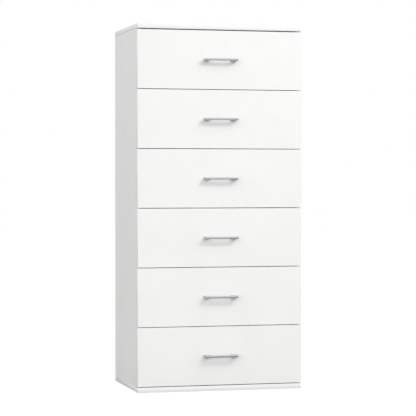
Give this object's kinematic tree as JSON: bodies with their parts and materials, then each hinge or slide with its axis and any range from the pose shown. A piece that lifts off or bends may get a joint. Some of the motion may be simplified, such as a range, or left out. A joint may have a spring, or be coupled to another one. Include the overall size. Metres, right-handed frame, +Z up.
{
  "type": "tall chest of drawers",
  "caption": "Tall narrow chest of equal overlay drawers with straight bow handles, flush top and base panels and roller runners.",
  "frame": {"origin": "on the floor, at the middle of the footprint of the boards (handles left out)", "axes": "+Z up, +X to the right of a person facing the drawers, -Y towards that person"},
  "size_m": [0.6, 0.43, 1.3],
  "materials": {
    "white_board": "white melamine-faced chipboard, fine satin texture, white edging",
    "box_board": "white foil-wrapped chipboard",
    "hardboard": "white-lacquered hardboard",
    "handle_metal": "satin aluminium look",
    "runner_steel": "white powder-coated steel",
    "roller_nylon": "moulded nylon",
    "zinc": "zinc-plated",
    "nail_steel": "bright steel wire nail",
    "dowel_beech": "fluted beech"
  },
  "bodies": {
    "carcass": {"top_panel": "white_board", "base_panel": "white_board", "left_side_panel": "white_board", "right_side_panel": "white_board", "back_panel": "hardboard", "back_nails": "nail_steel", "cam_discs": "zinc", "cam_bolts": "zinc", "carcass_dowels": "dowel_beech", "cabinet_runners": "runner_steel", "runner_screws": "zinc"},
    "drawer_1": {"drawer_1_front": "white_board", "drawer_1_sides": "box_board", "drawer_1_back": "box_board", "drawer_1_bottom": "hardboard", "drawer_1_handle": "handle_metal", "drawer_1_runners": "runner_steel"},
    "drawer_1_rear_rollers": {"drawer_1_rear_rollers": "roller_nylon"},
    "drawer_1_front_rollers": {"drawer_1_front_rollers": "roller_nylon"},
    "drawer_2": {"drawer_2_front": "white_board", "drawer_2_sides": "box_board", "drawer_2_back": "box_board", "drawer_2_bottom": "hardboard", "drawer_2_handle": "handle_metal", "drawer_2_runners": "runner_steel"},
    "drawer_2_rear_rollers": {"drawer_2_rear_rollers": "roller_nylon"},
    "drawer_2_front_rollers": {"drawer_2_front_rollers": "roller_nylon"},
    "drawer_3": {"drawer_3_front": "white_board", "drawer_3_sides": "box_board", "drawer_3_back": "box_board", "drawer_3_bottom": "hardboard", "drawer_3_handle": "handle_metal", "drawer_3_runners": "runner_steel"},
    "drawer_3_rear_rollers": {"drawer_3_rear_rollers": "roller_nylon"},
    "drawer_3_front_rollers": {"drawer_3_front_rollers": "roller_nylon"},
    "drawer_4": {"drawer_4_front": "white_board", "drawer_4_sides": "box_board", "drawer_4_back": "box_board", "drawer_4_bottom": "hardboard", "drawer_4_handle": "handle_metal", "drawer_4_runners": "runner_steel"},
    "drawer_4_rear_rollers": {"drawer_4_rear_rollers": "roller_nylon"},
    "drawer_4_front_rollers": {"drawer_4_front_rollers": "roller_nylon"},
    "drawer_5": {"drawer_5_front": "white_board", "drawer_5_sides": "box_board", "drawer_5_back": "box_board", "drawer_5_bottom": "hardboard", "drawer_5_handle": "handle_metal", "drawer_5_runners": "runner_steel"},
    "drawer_5_rear_rollers": {"drawer_5_rear_rollers": "roller_nylon"},
    "drawer_5_front_rollers": {"drawer_5_front_rollers": "roller_nylon"},
    "drawer_6": {"drawer_6_front": "white_board", "drawer_6_sides": "box_board", "drawer_6_back": "box_board", "drawer_6_bottom": "hardboard", "drawer_6_handle": "handle_metal", "drawer_6_runners": "runner_steel"},
    "drawer_6_rear_rollers": {"drawer_6_rear_rollers": "roller_nylon"},
    "drawer_6_front_rollers": {"drawer_6_front_rollers": "roller_nylon"}
  },
  "joints": [
    {"name": "drawer_1_slide", "type": "slide", "parent": "carcass", "child": "drawer_1", "axis": [0, -1, 0], "range_m": [0, 0.26]},
    {"name": "drawer_1_rear_spin", "type": "hinge", "parent": "drawer_1", "child": "drawer_1_rear_rollers", "pos_m": [0, 0.154, 1.11043], "axis": [1, 0, 0], "continuous": true},
    {"name": "drawer_1_front_spin", "type": "hinge", "parent": "carcass", "child": "drawer_1_front_rollers", "pos_m": [0, -0.1645, 1.11043], "axis": [1, 0, 0], "continuous": true},
    {"name": "drawer_2_slide", "type": "slide", "parent": "carcass", "child": "drawer_2", "axis": [0, -1, 0], "range_m": [0, 0.26]},
    {"name": "drawer_2_rear_spin", "type": "hinge", "parent": "drawer_2", "child": "drawer_2_rear_rollers", "pos_m": [0, 0.154, 0.90047], "axis": [1, 0, 0], "continuous": true},
    {"name": "drawer_2_front_spin", "type": "hinge", "parent": "carcass", "child": "drawer_2_front_rollers", "pos_m": [0, -0.1645, 0.90047], "axis": [1, 0, 0], "continuous": true},
    {"name": "drawer_3_slide", "type": "slide", "parent": "carcass", "child": "drawer_3", "axis": [0, -1, 0], "range_m": [0, 0.26]},
    {"name": "drawer_3_rear_spin", "type": "hinge", "parent": "drawer_3", "child": "drawer_3_rear_rollers", "pos_m": [0, 0.154, 0.6905], "axis": [1, 0, 0], "continuous": true},
    {"name": "drawer_3_front_spin", "type": "hinge", "parent": "carcass", "child": "drawer_3_front_rollers", "pos_m": [0, -0.1645, 0.6905], "axis": [1, 0, 0], "continuous": true},
    {"name": "drawer_4_slide", "type": "slide", "parent": "carcass", "child": "drawer_4", "axis": [0, -1, 0], "range_m": [0, 0.26]},
    {"name": "drawer_4_rear_spin", "type": "hinge", "parent": "drawer_4", "child": "drawer_4_rear_rollers", "pos_m": [0, 0.154, 0.48053], "axis": [1, 0, 0], "continuous": true},
    {"name": "drawer_4_front_spin", "type": "hinge", "parent": "carcass", "child": "drawer_4_front_rollers", "pos_m": [0, -0.1645, 0.48053], "axis": [1, 0, 0], "continuous": true},
    {"name": "drawer_5_slide", "type": "slide", "parent": "carcass", "child": "drawer_5", "axis": [0, -1, 0], "range_m": [0, 0.26]},
    {"name": "drawer_5_rear_spin", "type": "hinge", "parent": "drawer_5", "child": "drawer_5_rear_rollers", "pos_m": [0, 0.154, 0.27057], "axis": [1, 0, 0], "continuous": true},
    {"name": "drawer_5_front_spin", "type": "hinge", "parent": "carcass", "child": "drawer_5_front_rollers", "pos_m": [0, -0.1645, 0.27057], "axis": [1, 0, 0], "continuous": true},
    {"name": "drawer_6_slide", "type": "slide", "parent": "carcass", "child": "drawer_6", "axis": [0, -1, 0], "range_m": [0, 0.26]},
    {"name": "drawer_6_rear_spin", "type": "hinge", "parent": "drawer_6", "child": "drawer_6_rear_rollers", "pos_m": [0, 0.154, 0.0606], "axis": [1, 0, 0], "continuous": true},
    {"name": "drawer_6_front_spin", "type": "hinge", "parent": "carcass", "child": "drawer_6_front_rollers", "pos_m": [0, -0.1645, 0.0606], "axis": [1, 0, 0], "continuous": true}
  ],
  "couplings": [
    {"joint": "drawer_1_rear_spin", "follows": "drawer_1_slide", "rad_per_m": 114.94},
    {"joint": "drawer_1_front_spin", "follows": "drawer_1_slide", "rad_per_m": 114.94},
    {"joint": "drawer_2_rear_spin", "follows": "drawer_2_slide", "rad_per_m": 114.94},
    {"joint": "drawer_2_front_spin", "follows": "drawer_2_slide", "rad_per_m": 114.94},
    {"joint": "drawer_3_rear_spin", "follows": "drawer_3_slide", "rad_per_m": 114.94},
    {"joint": "drawer_3_front_spin", "follows": "drawer_3_slide", "rad_per_m": 114.94},
    {"joint": "drawer_4_rear_spin", "follows": "drawer_4_slide", "rad_per_m": 114.94},
    {"joint": "drawer_4_front_spin", "follows": "drawer_4_slide", "rad_per_m": 114.94},
    {"joint": "drawer_5_rear_spin", "follows": "drawer_5_slide", "rad_per_m": 114.94},
    {"joint": "drawer_5_front_spin", "follows": "drawer_5_slide", "rad_per_m": 114.94},
    {"joint": "drawer_6_rear_spin", "follows": "drawer_6_slide", "rad_per_m": 114.94},
    {"joint": "drawer_6_front_spin", "follows": "drawer_6_slide", "rad_per_m": 114.94}
  ]
}
